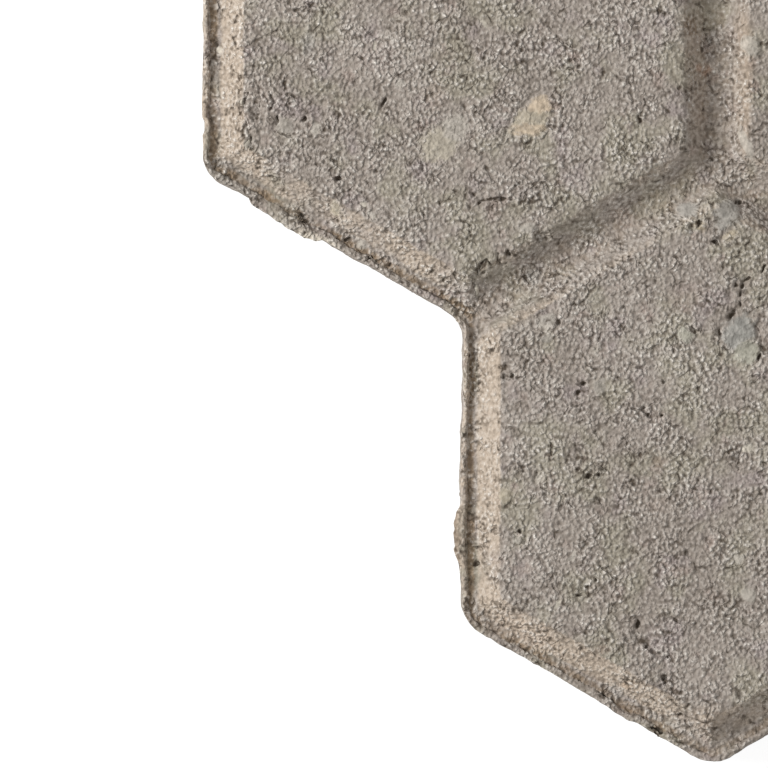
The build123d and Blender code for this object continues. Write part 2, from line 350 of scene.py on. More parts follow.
def layeredNoise(points, layers):
    return sum(amount * softNoise(points, size, seed) for size, amount, seed in layers)


def readAll(items, kind, width=1, number=np.float32):
    values = np.zeros(len(items) * width, number)
    items.foreach_get(kind, values)
    return values


def readPlaces(piece):
    return readAll(piece.data.vertices, "co", 3).reshape(-1, 3).astype(float) / mm


def writePlaces(piece, places):
    piece.data.vertices.foreach_set("co", (places * mm).astype(np.float32).ravel())
    piece.data.update()


def readNormals(piece):
    return readAll(piece.data.vertices, "normal", 3).reshape(-1, 3).astype(float)


def writeValues(piece, name, values):
    kind = "FLOAT" if values.ndim == 1 else "FLOAT_COLOR"
    if name in piece.data.attributes:
        piece.data.attributes.remove(piece.data.attributes[name])
    field = piece.data.attributes.new(name, kind, "POINT")
    field.data.foreach_set("value" if values.ndim == 1 else "color", values.astype(np.float32).ravel())


def readValues(piece, name):
    return readAll(piece.data.attributes[name].data, "value").astype(float)


def applyAll(piece):
    context.view_layer.objects.active = piece
    for modifier in list(piece.modifiers):
        bpy.ops.object.modifier_apply(modifier=modifier.name)


def copyNode(name, pieceName):
    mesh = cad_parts[name].data.copy()
    piece = bpy.data.objects.new(pieceName, mesh)
    context.scene.collection.objects.link(piece)
    piece.select_set(True)
    context.view_layer.objects.active = piece
    bpy.ops.object.mode_set(mode="EDIT")
    bpy.ops.mesh.select_all(action="SELECT")
    bpy.ops.mesh.remove_doubles(threshold=0.001 * mm)
    bpy.ops.mesh.normals_make_consistent(inside=False)
    bpy.ops.object.mode_set(mode="OBJECT")
    if piece.data.has_custom_normals:
        bpy.ops.mesh.customdata_custom_splitnormals_clear()
    return piece


def fuse(piece):
    remesh = piece.modifiers.new("fuse", "REMESH")
    remesh.mode = "VOXEL"
    remesh.voxel_size = cast["voxel"] * mm
    applyAll(piece)


def markShare(points, x, y, halfLength, halfWidth, turn):
    # 0 in the middle of a mark and 1 on its rim
    along, across = turned(turn), turned(turn + 90)
    offset = points - (x, y)
    return np.hypot(offset @ along / halfLength, offset @ across / halfWidth)


def crackShare(points, halfWidth, route):
    nearest = np.full(len(points), np.inf)
    for start, end in zip(route, route[1:]):
        nearest = np.minimum(nearest, segmentDistance(points, start, end))
    return nearest / halfWidth


def wobbled(places, size, amount, seed):
    # plan places shifted a little at random, so that a mark's rim isn't a clean ellipse
    shift = [softNoise(places, size, seed + axis) for axis in range(2)]
    return places[:, :2] + amount * np.stack(shift, axis=1)


class Surface:
    # the points of a mesh in order of x, to find quickly those near a place
    def __init__(self, places):
        self.places = places
        self.order = np.argsort(places[:, 0])
        self.sorted = places[self.order, 0]

    def near(self, spot, reach, allowed=None):
        first, last = np.searchsorted(self.sorted, (spot[0] - reach, spot[0] + reach))
        picked = self.order[first:last]
        gap = np.abs(self.places[picked, :len(spot)] - spot).max(axis=1)
        picked = picked[gap < reach]
        return picked if allowed is None else picked[allowed[picked]]


def refineMarks(piece):
    # smaller faces round the small marks, so that they are sharp
    places = readPlaces(piece)
    upper = places[:, 2] > floorLevel - 0.5
    surface = Surface(places)
    chosen = np.zeros(len(places), bool)
    margin = cast["fineRound"]["pit"]
    for x, y, halfLength, halfWidth, turn in [pit[:5] for pit in pits]:
        picked = surface.near((x, y), halfLength + cast["markReach"])
        share = markShare(places[picked, :2], x, y, halfLength + margin, halfWidth + margin, turn)
        chosen[picked[share < 1]] = True
    for halfWidth, route in [(crack[0], crack[2]) for crack in cracks]:
        picked = surface.near(np.mean(route, axis=0), cast["crackReach"])
        share = crackShare(places[picked, :2], halfWidth + cast["fineRound"]["crack"], route)
        chosen[picked[share < 1]] = True
    chosen &= upper
    for parts in (piece.data.edges, piece.data.polygons):
        parts.foreach_set("select", np.zeros(len(parts), bool))
    piece.data.vertices.foreach_set("select", chosen)
    bpy.ops.object.mode_set(mode="EDIT")
    bpy.ops.mesh.select_mode(type="VERT")
    bpy.ops.mesh.subdivide(number_cuts=1)
    bpy.ops.object.mode_set(mode="OBJECT")


def measurePlan(piece):
    # how far each point is from the outline, and from the foot of the nearest slope
    flat = readPlaces(piece)[:, :2]
    edge = np.full(len(flat), np.inf)
    for start, end in outerSides():
        edge = np.minimum(edge, segmentDistance(flat, start, end))
    joint = np.full(len(flat), np.inf)
    for angle in (90, 210, 330):
        joint = np.minimum(joint, segmentDistance(flat, np.zeros(2), hexRadius * turned(angle)))
    writeValues(piece, "edge", edge)
    writeValues(piece, "joint", joint)
    writeValues(piece, "foot", np.minimum(edge - plan["edgeToFoot"], joint - plan["jointToFoot"]))


def outwardDirections(flat):
    total, weights = np.zeros_like(flat), np.zeros(len(flat))
    for start, end in outerSides():
        along = (end - start) / np.linalg.norm(end - start)
        weight = (segmentDistance(flat, start, end) + 0.4) ** -3
        total += weight[:, None] * np.array([along[1], -along[0]])
        weights += weight
    return total / weights[:, None]


def bendOutline(piece):
    places, edge = readPlaces(piece), readValues(piece, "edge")
    outward = outwardDirections(places[:, :2])
    level = places * (1, 1, 0)
    wander = layeredNoise(level, uneven["outline"])
    for start, end, inward, fade in shyStretches:
        near = segmentDistance(places[:, :2], start, end)
        wander -= inward * rampDown(near, 0.4, fade)
    places[:, :2] += outward * (wander * rampDown(edge, 1, 5))[:, None]
    ragged = layeredNoise(places, uneven["upperEdge"])
    fringe = rampDown(edge, 0.6, 1.6) * rampUp(places[:, 2], floorLevel - 3, floorLevel)
    places[:, :2] += outward * (ragged * fringe)[:, None]
    for start, end, out in untrueSides:
        start, end = np.array(start), np.array(end)
        along = end - start
        share = np.clip((places[:, :2] - start) @ along / (along @ along), 0, 1)[:, None]
        # each corner slides along the side next to it, so that only this side moves out
        move = (1 - share) * np.array([0, -1.155]) + share * np.array([-1.0, -0.577])
        near = rampDown(segmentDistance(places[:, :2], start, end), 8, 30)
        places[:, :2] += out * move * near[:, None]
    writePlaces(piece, places)


def addFlash(piece):
    places = readPlaces(piece)
    ragged = 1 + layeredNoise(places, uneven["flash"])
    lipTop = floorLevel + plan["lipHeight"]
    for start, end, out, down, fade in flash:
        start, end = np.array(start), np.array(end)
        length = np.linalg.norm(end - start)
        along = (end - start) / length
        normal = np.array([along[1], -along[0]])
        if normal @ (start + end) < 0:  # the outside is away from the origin
            normal = -normal
        forward, sideways = (places[:, :2] - start) @ along, (places[:, :2] - start) @ normal
        lengthwise = rampUp(forward, -0.4, fade) * rampDown(forward, length - fade, length + 0.4)
        across = rampUp(sideways, -0.7, 0.1) * rampDown(sideways, 3, 4)
        downward = rampUp(places[:, 2], lipTop - down, lipTop - 0.45 * down)
        places[:, :2] += np.outer(out * ragged * lengthwise * across * downward, normal)
    writePlaces(piece, places)


def breakLip(piece):
    # the lip is ragged, and low on the sides that face the front
    places, edge = readPlaces(piece), readValues(piece, "edge")
    outward = outwardDirections(places[:, :2])
    level = places * (1, 1, 0)
    keep = 0.96 + layeredNoise(level, uneven["lipHeight"])
    keep *= 1 - cast["brokenSidesLip"] * rampDown(outward[:, 1], -0.7, -0.2)
    keep = np.clip(keep, 0.08, 1.3)
    above = places[:, 2] - floorLevel
    onLip = rampDown(edge, 1.3, 1.8) * (above > 0)
    places[:, 2] += onLip * above * (keep - 1)
    # rounds its outer edge
    places[:, 2] -= 0.75 * rampDown(edge, -0.2, 0.5) * rampUp(above, -0.9, 1.0) * keep
    inside = onLip * rampUp(edge, 0.3, 0.9) * (above > 0.1)
    sway = layeredNoise(level, uneven["lipPlace"]) - 0.32
    places[:, :2] += outward * (inside * sway)[:, None]
    writePlaces(piece, places)


def crumble(places):
    zone = np.zeros(len(places))
    for x, y, halfLength, halfWidth, turn, strength in crumbled:
        share = markShare(places[:, :2], x, y, halfLength, halfWidth, turn)
        zone = np.maximum(zone, strength * rampDown(share, 0.5, 1.2))
    return zone


def roughen(piece):
    # uneven paste: light on the pads, stronger on their edges, in the gutter and below
    places, normals = readPlaces(piece), readNormals(piece)
    edge, foot = readValues(piece, "edge"), readValues(piece, "foot")
    upper = rampUp(places[:, 2], floorLevel - 1.5, floorLevel - 0.3)
    bed = rampDown(places[:, 2], 0.4, 1.4)
    wall = (1 - upper) * (1 - bed)
    arris = upper * rampUp(foot, 0.8, 3.2) * rampDown(foot, 5.0, 6.8)
    gutter = upper * rampDown(foot, 0.2, 1.6) * rampUp(edge, 0.7, 1.4)
    streaks = 0.09 * softNoise(places / (1, 1, cast["streakLength"]), 1.5, 45)  # left by the mould
    height = layeredNoise(places, uneven["surface"])
    height += arris * (layeredNoise(places, uneven["arris"]) - 0.04)
    height += gutter * layeredNoise(places, uneven["gutter"])
    height += wall * (streaks + layeredNoise(places, uneven["walls"]))
    height += upper * crumble(places) * (layeredNoise(places, uneven["crumbled"]) - 0.15)
    height -= bed * 0.35 * (1 + layeredNoise(places, uneven["bed"]))
    places += normals * height[:, None]
    places[:, 2] = np.maximum(places[:, 2], 0)
    writePlaces(piece, places)


def sinkPits(piece):
    places, normals = readPlaces(piece), readNormals(piece)
    surface = Surface(places)
    plane = wobbled(places, 0.8, 0.32, 51)
    upper = places[:, 2] > cast["pitsFrom"]
    sink, pitShadeAndDirt = np.zeros(len(places)), np.zeros(len(places))

    # each pit is sunk, and darkened with painted shade and dirt, more the deeper it is
    def dig(picked, share, depth, dark):
        sink[picked] = np.maximum(sink[picked], depth * rampDown(share, 0.25, 1.15))
        pitShadeAndDirt[picked] = np.maximum(pitShadeAndDirt[picked], dark * rampDown(share, 0.4, 1.3))

    for x, y, halfLength, halfWidth, turn, depth in pits:
        picked = surface.near((x, y), halfLength + cast["markReach"], upper)
        share = markShare(plane[picked], x, y, halfLength, halfWidth, turn)
        dig(picked, share, cast["markDepth"] * depth, min(1.0, depth * depth + 0.25))
    for halfWidth, depth, route in cracks:
        picked = surface.near(np.mean(route, axis=0), cast["crackReach"], upper)
        share = crackShare(plane[picked], halfWidth, route)
        dig(picked, share, cast["markDepth"] * depth, min(1.0, depth * depth + 0.3))

    # more of them at random, all over the stone
    draw = np.random.default_rng(cast["seed"])
    foot, edge = readValues(piece, "foot"), readValues(piece, "edge")
    height = places[:, 2]
    regions = {
        "pads": upper & (foot > 5.8),
        "arris": upper & (foot > 3.6) & (foot < 5.8),
        "walls": (height > 2) & (height < floorLevel - 1) & (edge < 2),
        "bed": height < 0.8,
    }
    for name, (count, radiusRange, depthRange, dark) in randomPits.items():
        spots = draw.choice(np.nonzero(regions[name])[0], count)
        radii = draw.uniform(*radiusRange, count)
        depths = draw.uniform(*depthRange, count)
        for spot, radius, depth in zip(spots, radii, depths):
            picked = surface.near(places[spot], radius * 1.4)
            share = np.linalg.norm(places[picked] - places[spot], axis=1) / radius
            # a waved rim, different for each pit
            share *= 1 + 0.25 * np.sin(spot + 3 * places[picked, 0] + 2 * places[picked, 1])
            dig(picked, share, depth, dark * min(1.0, depth * 1.6))
    # crumbled places are sunk a little and get painted shade and dirt too
    crumbs = upper * crumble(places) * rampUp(softNoise(places, 1.0, 52), 0.1, 0.5)
    pitShadeAndDirt = np.maximum(pitShadeAndDirt, 0.75 * crumbs)
    places -= normals * (sink + 0.25 * crumbs)[:, None]
    places[:, 2] = np.maximum(places[:, 2], 0)
    writePlaces(piece, places)
    writeValues(piece, "pitShadeAndDirt", pitShadeAndDirt)


def setPebbles(piece):
    places, normals = readPlaces(piece), readNormals(piece)
    surface = Surface(places)
    plane = wobbled(places, 1.7, 0.45, 61)
    upper = places[:, 2] > cast["marksFrom"]
    mask = np.full(len(places), -1.0)
    tones = np.ones((len(places), 4)) * (0.4, 0.36, 0.3, 1)
    draw = np.random.default_rng(cast["seed"] + 1)
    foot = readValues(piece, "foot")
    beyond = (places[:, :2] > cast["placedUpTo"]).any(axis=1)
    scattered = []
    names = sorted(pebbleTones)
    for spot in draw.choice(np.nonzero(upper & (foot > 3) & beyond)[0], cast["scatteredPebbles"]):
        length = draw.uniform(0.9, 2.6) * draw.uniform(0.7, 1.3)
        width, turn, rise = length * draw.uniform(0.5, 0.95), draw.uniform(0, 180), draw.uniform(0.04, 0.16)
        scattered.append((*places[spot, :2], length, width, turn, rise, names[draw.integers(len(names))]))
    lift = np.zeros(len(places))
    for x, y, halfLength, halfWidth, turn, rise, tone in pebbles + scattered:
        picked = surface.near((x, y), halfLength * 1.6 + 0.8, upper)
        share = markShare(plane[picked], x, y, halfLength, halfWidth, turn)
        inside = 1 - share
        stronger = inside > mask[picked]
        mask[picked] = np.maximum(mask[picked], inside)
        tones[picked[stronger]] = pebbleTones[tone]
        dome = np.sqrt(np.clip(1 - share ** 2, 0, 1))
        moat = rampUp(share, 0.8, 1.02) * rampDown(share, 1.05, 1.4)
        lift[picked] += rise * dome - min(0.22, 1.2 * rise) * moat
    places += normals * lift[:, None]
    writePlaces(piece, places)
    writeValues(piece, "pebble", mask)
    writeValues(piece, "pebbleTone", tones)


def spreadStainsAndLight(piece):
    places = readPlaces(piece)
    surface = Surface(places)
    plane = wobbled(places, 1.8, 0.5, 71)
    upper = places[:, 2] > cast["marksFrom"]
    strength = np.zeros(len(places))
    tones = np.ones((len(places), 4)) * (0.3, 0.26, 0.22, 1)
    for x, y, halfLength, halfWidth, turn, strong, tone in stainsAndPaintedLight:
        picked = surface.near((x, y), halfLength * 1.5 + 1, upper)
        value = strong * rampDown(markShare(plane[picked], x, y, halfLength, halfWidth, turn), 0.6, 1.3)
        stronger = value > strength[picked]
        strength[picked] = np.maximum(strength[picked], value)
        tones[picked[stronger], :3] = tone
    writeValues(piece, "stainAndPaintedLight", strength)
    writeValues(piece, "stainAndLightTone", tones)


def thin(piece, chosen, target):
    # fewer triangles among the chosen points only
    corners = readAll(piece.data.loops, "vertex_index", number=np.int32)
    starts, sizes = [readAll(piece.data.polygons, kind, number=np.int32)
                     for kind in ("loop_start", "loop_total")]
    inside = np.add.reduceat(chosen[corners].astype(int), starts) == sizes
    total, within = (sizes - 2).sum(), (sizes - 2)[inside].sum()
    if within <= target:
        return
    group = piece.vertex_groups.new(name="thin")
    group.add(np.nonzero(chosen)[0].tolist(), 1.0, "REPLACE")
    decimate = piece.modifiers.new("thin", "DECIMATE")
    decimate.ratio = (total - within + target) / total
    decimate.vertex_group = "thin"
    applyAll(piece)
    piece.vertex_groups.clear()
    print("thinned from", within, "to", target, "now", len(piece.data.polygons), "faces")


def thinRegions(piece):
    height = readPlaces(piece)[:, 2]
    thin(piece, height < cast["bedTop"], cast["bedTriangles"])
    height = readPlaces(piece)[:, 2]
    thin(piece, (height >= cast["bedTop"]) & (height < cast["wallTop"]), cast["wallTriangles"])
    height = readPlaces(piece)[:, 2]
    pitShadeAndDirt = readValues(piece, "pitShadeAndDirt")
    thin(piece, (height >= cast["wallTop"]) & (pitShadeAndDirt < cast["keptHollow"]), cast["wearTriangles"])


def markFinish(piece):
    # where the paste is pale and smooth, with a painted highlight on the lip, where dirt and painted shade
    # lie, and where the walls are
    places = readPlaces(piece)
    places[:, 2] = np.maximum(places[:, 2], 0)  # it rests on its bed
    writePlaces(piece, places)
    edge, foot, joint = [readValues(piece, name) for name in ("edge", "foot", "joint")]
    outward = outwardDirections(places[:, :2])
    upper = rampUp(places[:, 2], floorLevel - 1.2, floorLevel - 0.2)
    sway = layeredNoise(places, uneven["skinEdge"])
    inJoint = rampDown(joint - edge, -2, 3)  # 1 where a dummy joint is nearer than the outline
    skinAndLipHighlight = rampUp(foot + 0.6 * sway, -0.4 + 1.9 * inJoint, 0.8 + 3.2 * inJoint)
    skinAndLipHighlight *= rampDown(foot + 0.3 * sway, 4.3, 5.1)
    patchy = 0.74 + layeredNoise(places, uneven["skinPatches"])
    skinAndLipHighlight *= upper * (1 - 0.35 * inJoint) * np.clip(patchy, 0.2, 1.1)
    upright = rampUp(np.abs(outward[:, 0]), 0.6, 0.95)  # the sides with a high lip keep more dirt behind it, and more painted shadow of the lip
    skinAndLipHighlight *= 0.88 + 0.12 * upright
    # pale specks on the lip: pale paste, and a painted highlight on its crest
    lipPasteAndHighlight = np.clip(0.55 + 0.5 * softNoise(places, 1.6, 86), 0, 0.9)
    skinAndLipHighlight = np.maximum(skinAndLipHighlight, lipPasteAndHighlight * upper * upright * rampDown(edge + 0.3 * sway, 0.7, 1.1))
    # the gutter behind the lip gets a brown tint: dirt, and the lip's painted shadow, strongest where the lip
    # is high
    dirtAndShade = (0.7 + 0.3 * upright) * rampDown(edge + 0.6 * sway, 2.2, 3.3) * rampUp(edge, 0.9, 1.3)
    dirtAndShade *= np.clip(0.92 + 0.45 * softNoise(places, 5.5, 85), 0.6, 1.2)
    # half as much on the sides that face away from the lamp, where the lip throws no shadow into the gutter
    dirtAndShade *= 1 - 0.5 * rampUp(outward[:, 0], 0.2, 0.7)
    # and on the floors of the dummy joints: dirt and painted shade
    dirtAndShade = upper * np.maximum(dirtAndShade, 0.3 * inJoint * rampDown(foot + sway, 0.5, 3.0))
    writeValues(piece, "skinAndLipHighlight", skinAndLipHighlight)
    writeValues(piece, "dirtAndShade", dirtAndShade)
    writeValues(piece, "wall", (1 - upper) * rampUp(places[:, 2], 0.8, 2.5))


def makeStone():
    stone = copyNode("paving_stone", "castStone")
    fuse(stone)
    print("remeshed", len(stone.data.polygons))
    refineMarks(stone)
    measurePlan(stone)
    bendOutline(stone)
    addFlash(stone)
    breakLip(stone)
    roughen(stone)
    setPebbles(stone)
    sinkPits(stone)
    spreadStainsAndLight(stone)
    print("shaped", len(stone.data.polygons))
    thinRegions(stone)
    markFinish(stone)
    stone.data.polygons.foreach_set("use_smooth", np.ones(len(stone.data.polygons), bool))
    print("stone finished", sum(len(face.vertices) - 2 for face in stone.data.polygons), "triangles")
    return stone


def addNode(tree, kind, inputs=None, **settings):
    node = tree.nodes.new(kind)
    for name, value in settings.items():
        setattr(node, name, value)
    for key, value in (inputs or {}).items():
        if isinstance(value, bpy.types.NodeSocket):
            tree.links.new(value, node.inputs[key])
        else:
            node.inputs[key].default_value = value
    return node


def math(tree, operation, *values, clamp=False):
    node = addNode(tree, "ShaderNodeMath", dict(enumerate(values)), operation=operation, use_clamp=clamp)
    return node.outputs[0]


def ramp(tree, value, low, high, toLow=0.0, toHigh=1.0):
    inputs = {"Value": value, "From Min": low, "From Max": high, "To Min": toLow, "To Max": toHigh}
    return addNode(tree, "ShaderNodeMapRange", inputs, interpolation_type="SMOOTHSTEP").outputs[0]


def blendColour(tree, share, first, second):
    # first and second may be colours or sockets
    mix = addNode(tree, "ShaderNodeMix", data_type="RGBA")
    for index, value in ((0, share), (6, first), (7, second)):
        if isinstance(value, bpy.types.NodeSocket):
            tree.links.new(value, mix.inputs[index])
        else:
            mix.inputs[index].default_value = value if index == 0 else (*value, 1)
    return mix.outputs[2]


def vectorMath(tree, operation, *values):
    return addNode(tree, "ShaderNodeVectorMath", dict(enumerate(values)), operation=operation).outputs[0]


def scaleColour(tree, colour, factor):
    # a colour or a vector times a factor that changes over the surface
    return addNode(tree, "ShaderNodeVectorMath", {0: colour, 3: factor}, operation="SCALE").outputs[0]


def grainGroup():
    # packed sand grains: a random tone for each, its top, where the material paints a highlight, its height,
    # and the gap round it, where it paints shade
    tree = bpy.data.node_groups.new("sandGrains", "ShaderNodeTree")
    tree.interface.new_socket("Place", in_out="INPUT", socket_type="NodeSocketVector")
    tree.interface.new_socket("Size", in_out="INPUT", socket_type="NodeSocketFloat")
    for name in ("Tone", "Top", "Height", "Gap"):
        tree.interface.new_socket(name, in_out="OUTPUT", socket_type="NodeSocketFloat")
    given = addNode(tree, "NodeGroupInput")
    perMetre = math(tree, "DIVIDE", 1 / mm, given.outputs["Size"])
    place = given.outputs["Place"]
    bend = addNode(tree, "ShaderNodeTexNoise", {"Vector": place, "Scale": perMetre, "Detail": 1.0})
    bend = vectorMath(tree, "SUBTRACT", bend.outputs["Color"], (0.5, 0.5, 0.5))
    reach = math(tree, "MULTIPLY", given.outputs["Size"], concrete["grainBend"] * mm)
    bent = vectorMath(tree, "ADD", place, scaleColour(tree, bend, reach))
    cells = addNode(tree, "ShaderNodeTexVoronoi", {"Vector": bent, "Scale": perMetre, "Smoothness": 0.35},
                    feature="SMOOTH_F1")
    apart = addNode(tree, "ShaderNodeSeparateColor", {"Color": cells.outputs["Color"]})
    distance = cells.outputs["Distance"]
    lit = ramp(tree, apart.outputs["Green"], 0.5, 1.0)
    top = math(tree, "MULTIPLY", ramp(tree, distance, 0.1, 0.45, 1.0, 0.0), lit)
    height = ramp(tree, distance, 0.0, 0.8, 1.0, 0.0)
    gap = ramp(tree, distance, 0.45, 0.75)
    addNode(tree, "NodeGroupOutput", {"Tone": apart.outputs["Red"], "Top": top, "Height": height, "Gap": gap})
    return tree


concrete = {
    "colour": (0.338, 0.292, 0.252),
    "oliveSand": (0.336, 0.300, 0.239),
    "lilacSand": (0.336, 0.284, 0.262),
    "pinkSand": (0.354, 0.288, 0.248),
    "skinTint": (0.447, 0.368, 0.292),
    "dirtAndShadeTint": (0.250, 0.174, 0.106),
    # the colour that the painted highlights on the grains go towards
    "litGrain": (0.770, 0.716, 0.648),
    # the colour of the painted shade in the grain gaps and relief troughs, and of the painted shade and dirt
    # in the pits
    "gapShadeAndDirt": (0.080, 0.060, 0.043),
    "grainSize": 0.84,
    "wormSize": 0.74,  # of the finer, curly relief between the grains
    "mottleSize": 1.5,  # of the tones in a pebble
    "looseSize": 3.6,  # of the places where the sand is loose
    "patchSize": 6.5,  # of the places with stronger or weaker grain
    "ringSize": 4.0,  # of the stones just below the surface
    "ringBend": 2.4,  # how far their outlines wander
    "streakSize": 1.8,  # of the darker and lighter stripes on the walls
    "grainBend": 0.8,
    "toneContrast": 0.20,
    "topContrast": 1.15,
    "gapContrast": 0.50,
    "wormContrast": 1.84,
    "looseContrast": 0.45,
    "ringContrast": 0.55,
    "balance": 0.44,  # how light the sand is between its painted highlights and its painted gap shade
    "offset": 0.59,  # takes off what the balance and the mottling add on average
    "litStrength": 0.58,
    "darkStrength": 0.94,
    "darkest": 0.97,  # share of the painted shade and dirt colour in the deepest places
    "grainRelief": 0.31,
    "wormRelief": 0.52,
    "ringRelief": 0.25,
}


def noiseAt(tree, place, size, detail=2.0, rough=0.5):
    return addNode(tree, "ShaderNodeTexNoise", {"Vector": place, "Scale": 1 / (size * mm), "Detail": detail,
                   "Roughness": rough}).outputs[0]


def attribute(tree, name, output="Fac"):
    return addNode(tree, "ShaderNodeAttribute", attribute_name=name).outputs[output]


def sandColour(tree, place):
    # sand of slightly different colours, in patches, and the paste and dirt that cover it, the dirt with
    # painted shade in it
    colour = concrete["colour"]
    for size, low, tone in ((7, 0.54, "lilacSand"), (9, 0.47, "oliveSand"), (5, 0.58, "pinkSand")):
        share = ramp(tree, noiseAt(tree, place, size), low, low + 0.18)
        colour = blendColour(tree, share, colour, concrete[tone])
    # the pale paste of the slopes, with the painted highlight on the lip
    skinAndLipHighlight = attribute(tree, "skinAndLipHighlight")
    skinAndLipHighlight = math(tree, "ADD", skinAndLipHighlight, math(tree, "MULTIPLY_ADD", noiseAt(tree, place, 1.5), 0.5, -0.25))
    colour = blendColour(tree, ramp(tree, skinAndLipHighlight, 0.15, 0.85), colour, concrete["skinTint"])
    # stains, and a few patches of painted light and shade
    stainAndPaintedLight = attribute(tree, "stainAndPaintedLight")
    colour = blendColour(tree, stainAndPaintedLight, colour, attribute(tree, "stainAndLightTone", "Color"))
    # dirt and painted shade in the gutter behind the lip and on the floors of the joints
    dirtAndShade = attribute(tree, "dirtAndShade")
    dirtAndShade = math(tree, "ADD", dirtAndShade, math(tree, "MULTIPLY_ADD", noiseAt(tree, place, 2), 0.9, -0.45))
    return blendColour(tree, ramp(tree, dirtAndShade, 0.1, 0.9, 0.0, 0.8), colour, concrete["dirtAndShadeTint"])


def stoneRings(tree, place):
    # parts of the outlines of stones that lie just below the surface
    reach = concrete["ringBend"] * mm
    bend = addNode(tree, "ShaderNodeTexNoise", {"Vector": place, "Scale": 1 / reach, "Detail": 2.0})
    bent = vectorMath(tree, "MULTIPLY_ADD", bend.outputs["Color"], (reach, reach, reach), place)
    cells = addNode(tree, "ShaderNodeTexVoronoi", {"Vector": bent, "Scale": 1 / (concrete["ringSize"] * mm)},
                    feature="DISTANCE_TO_EDGE")
    line = ramp(tree, cells.outputs["Distance"], 0.015, 0.08, 1.0, 0.0)
    return math(tree, "MULTIPLY", line, ramp(tree, noiseAt(tree, place, 3.3), 0.5, 0.62))


def weighted(tree, terms, start):
    # sum of values that each have a weight
    total = start
    for value, weight in terms:
        total = math(tree, "MULTIPLY_ADD", value, weight, total)
    return total


def makeConcrete():
    material = bpy.data.materials.new("sandyConcrete")
    material.use_nodes = True
    tree = material.node_tree
    shader = tree.nodes["Principled BSDF"]
    place = addNode(tree, "ShaderNodeTexCoord").outputs["Object"]
    grains = grainGroup()
    sand = addNode(tree, "ShaderNodeGroup", {"Place": place, "Size": concrete["grainSize"]}, node_tree=grains)
    worms = noiseAt(tree, place, concrete["wormSize"], 0.5, 0.6)
    colour = sandColour(tree, place)

    # pebbles are mottled and have little grain
    rim = attribute(tree, "pebble")
    rim = math(tree, "ADD", rim, math(tree, "MULTIPLY_ADD", noiseAt(tree, place, 0.9), 0.9, -0.47))
    onPebble = math(tree, "MULTIPLY", ramp(tree, rim, -0.15, 0.4), attribute(tree, "pebbleTone", "Alpha"))
    mottle = noiseAt(tree, place, concrete["mottleSize"])
    face = scaleColour(tree, attribute(tree, "pebbleTone", "Color"), ramp(tree, mottle, 0.3, 0.7, 0.76, 1.14))
    colour = blendColour(tree, onPebble, colour, face)
    sandy = math(tree, "MULTIPLY_ADD", onPebble, -0.9, 1.0)

    # painted highlights on the grain tops and painted shade in the gaps between them, stronger where the sand
    # is loose and round buried stones
    balance = concrete["balance"] - 0.5 * (concrete["toneContrast"] + concrete["wormContrast"])
    shade = weighted(tree, (
        (sand.outputs["Tone"], concrete["toneContrast"]), (sand.outputs["Top"], concrete["topContrast"]),
        (sand.outputs["Gap"], -concrete["gapContrast"]), (worms, concrete["wormContrast"])), balance)
    patch = ramp(tree, noiseAt(tree, place, concrete["patchSize"]), 0.36, 0.64, 0.62, 1.25)
    shade = math(tree, "MULTIPLY", shade, patch)
    loose = ramp(tree, noiseAt(tree, place, concrete["looseSize"]), 0.5, 0.7)
    looseGap = math(tree, "MULTIPLY", sand.outputs["Gap"], loose)
    ring = stoneRings(tree, place)
    shade = weighted(tree, ((looseGap, -concrete["looseContrast"]), (ring, -concrete["ringContrast"]),
                            (noiseAt(tree, place, 3.0), 0.3), (noiseAt(tree, place, 30, 1.0), 0.5)),
                     math(tree, "SUBTRACT", shade, concrete["offset"]))
    shade = math(tree, "MULTIPLY", shade, sandy)
    wall = attribute(tree, "wall")
    shade = math(tree, "MULTIPLY", shade, math(tree, "MULTIPLY_ADD", wall, -0.3, 1.0))
    upright = vectorMath(tree, "MULTIPLY", place, (1, 1, 0.07))
    streaks = ramp(tree, noiseAt(tree, upright, concrete["streakSize"]), 0.35, 0.65, -0.2, 0.16)
    shade = math(tree, "MULTIPLY_ADD", streaks, wall, shade)
    # where the shade value is above nought the colour goes towards litGrain: painted highlights
    lit = math(tree, "MULTIPLY", shade, concrete["litStrength"], clamp=True)
    colour = blendColour(tree, lit, colour, concrete["litGrain"])
    # painted shade in the grain gaps and in the troughs of the curly relief, and painted shade and dirt in
    # the pits and cracks
    pitShadeAndDirt = attribute(tree, "pitShadeAndDirt")
    deep = weighted(tree, ((worms, -1.1), (sand.outputs["Gap"], 0.25)), math(tree, "ADD", pitShadeAndDirt, 0.43))
    deep = ramp(tree, deep, 0.3, 0.95, 0.0, concrete["darkest"])
    dark = math(tree, "MAXIMUM", math(tree, "MULTIPLY", shade, -concrete["darkStrength"]), deep)
    colour = blendColour(tree, math(tree, "MINIMUM", dark, concrete["darkest"]), colour, concrete["gapShadeAndDirt"])
    tree.links.new(colour, shader.inputs["Base Color"])

    # relief in millimetres
    height = weighted(tree, (
        (sand.outputs["Height"], concrete["grainRelief"]), (worms, concrete["wormRelief"]),
        (noiseAt(tree, place, 2.2), 0.2), (looseGap, -0.15), (ring, -concrete["ringRelief"])), 0.0)
    height = math(tree, "MULTIPLY", math(tree, "MULTIPLY", height, patch), sandy)
    height = weighted(tree, ((math(tree, "MULTIPLY", onPebble, mottle), 0.5),), height)
    bump = addNode(tree, "ShaderNodeBump", {"Height": height, "Distance": mm})
    tree.links.new(bump.outputs[0], shader.inputs["Normal"])
    rough = ramp(tree, onPebble, 0.0, 1.0, 0.95, 0.75)
    tree.links.new(rough, shader.inputs["Roughness"])
    shader.inputs["Specular IOR Level"].default_value = 0.3
    return material


stone = makeStone()
stone.data.materials.clear()
stone.data.materials.append(makeConcrete())
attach(stone, "root")
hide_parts("paving_stone")


